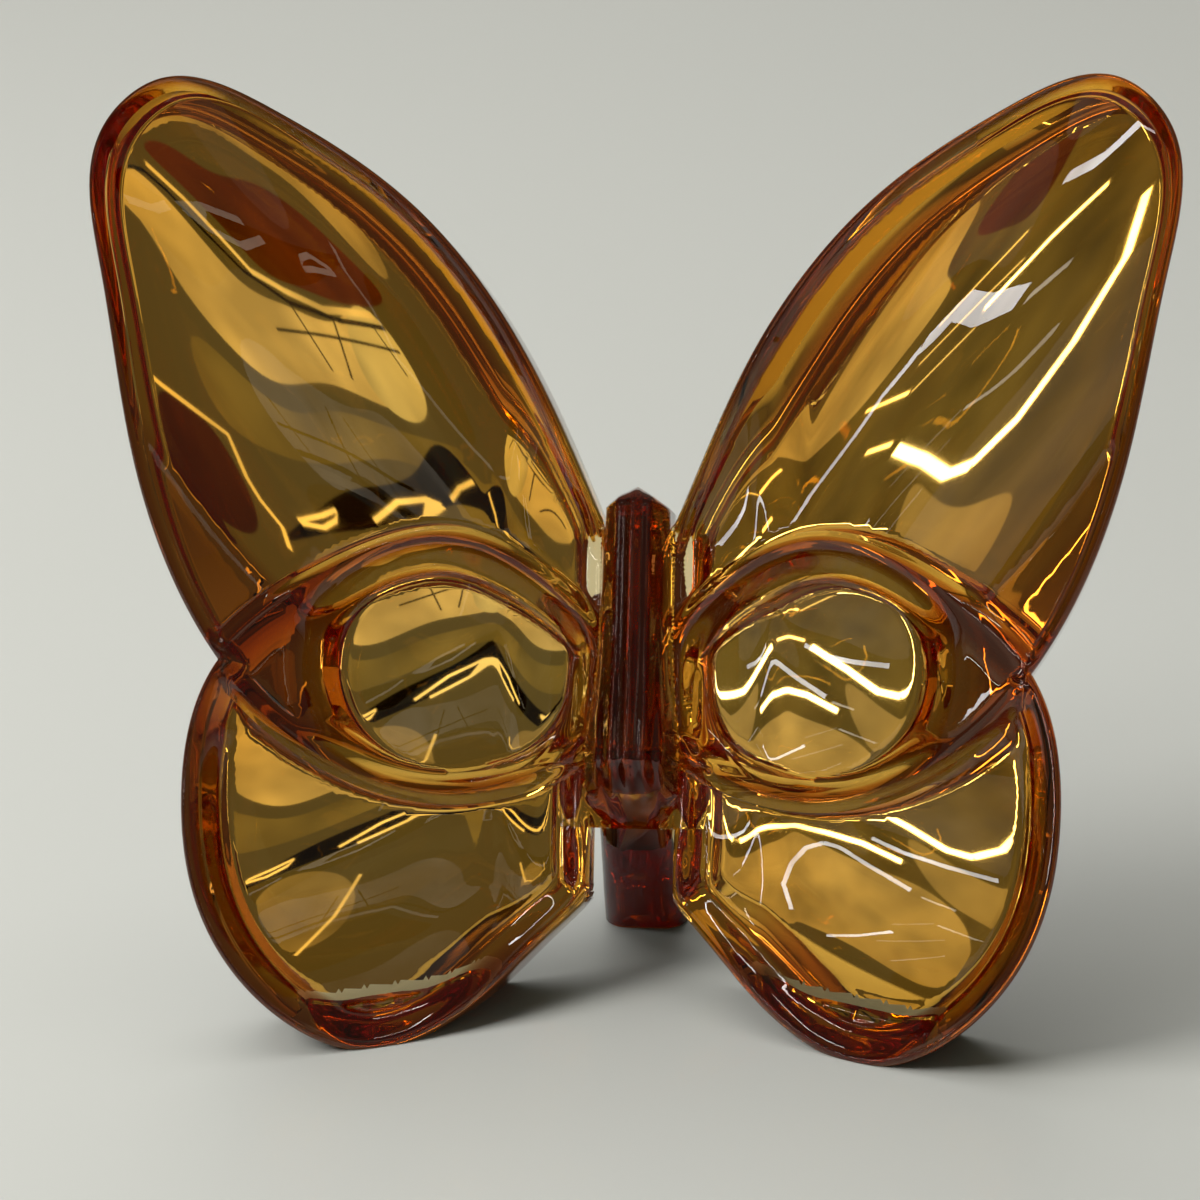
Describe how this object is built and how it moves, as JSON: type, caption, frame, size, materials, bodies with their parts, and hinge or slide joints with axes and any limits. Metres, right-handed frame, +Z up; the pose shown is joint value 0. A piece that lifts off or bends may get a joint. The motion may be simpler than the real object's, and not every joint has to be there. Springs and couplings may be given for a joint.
{
  "type": "butterfly ornament",
  "caption": "Standing butterfly ornament of pressed clear crystal with dished wing cells, raised ridges and body, a tail foot behind, and gold gilding on the back.",
  "frame": {"origin": "middle of the bounding box, on the plane that the object stands on", "axes": "+Z up, -Y towards the viewer's side with the dished cells, +X to the viewer's right"},
  "size_m": [0.07, 0.0316, 0.0575],
  "materials": {
    "crystal": "polished clear crystal, amber over its gilding",
    "gilding": "mirror gold film"
  },
  "bodies": {
    "root": {"body": "crystal", "tail_foot": "crystal", "right_forewing": "crystal", "right_middle_cell": "crystal", "right_hindwing": "crystal", "left_forewing": "crystal", "left_middle_cell": "crystal", "left_hindwing": "crystal", "body_gilding": "gilding", "tail_foot_gilding": "gilding", "right_forewing_gilding": "gilding", "right_middle_gilding": "gilding", "right_hindwing_gilding": "gilding", "left_forewing_gilding": "gilding", "left_middle_gilding": "gilding", "left_hindwing_gilding": "gilding"}
  },
  "joints": []
}
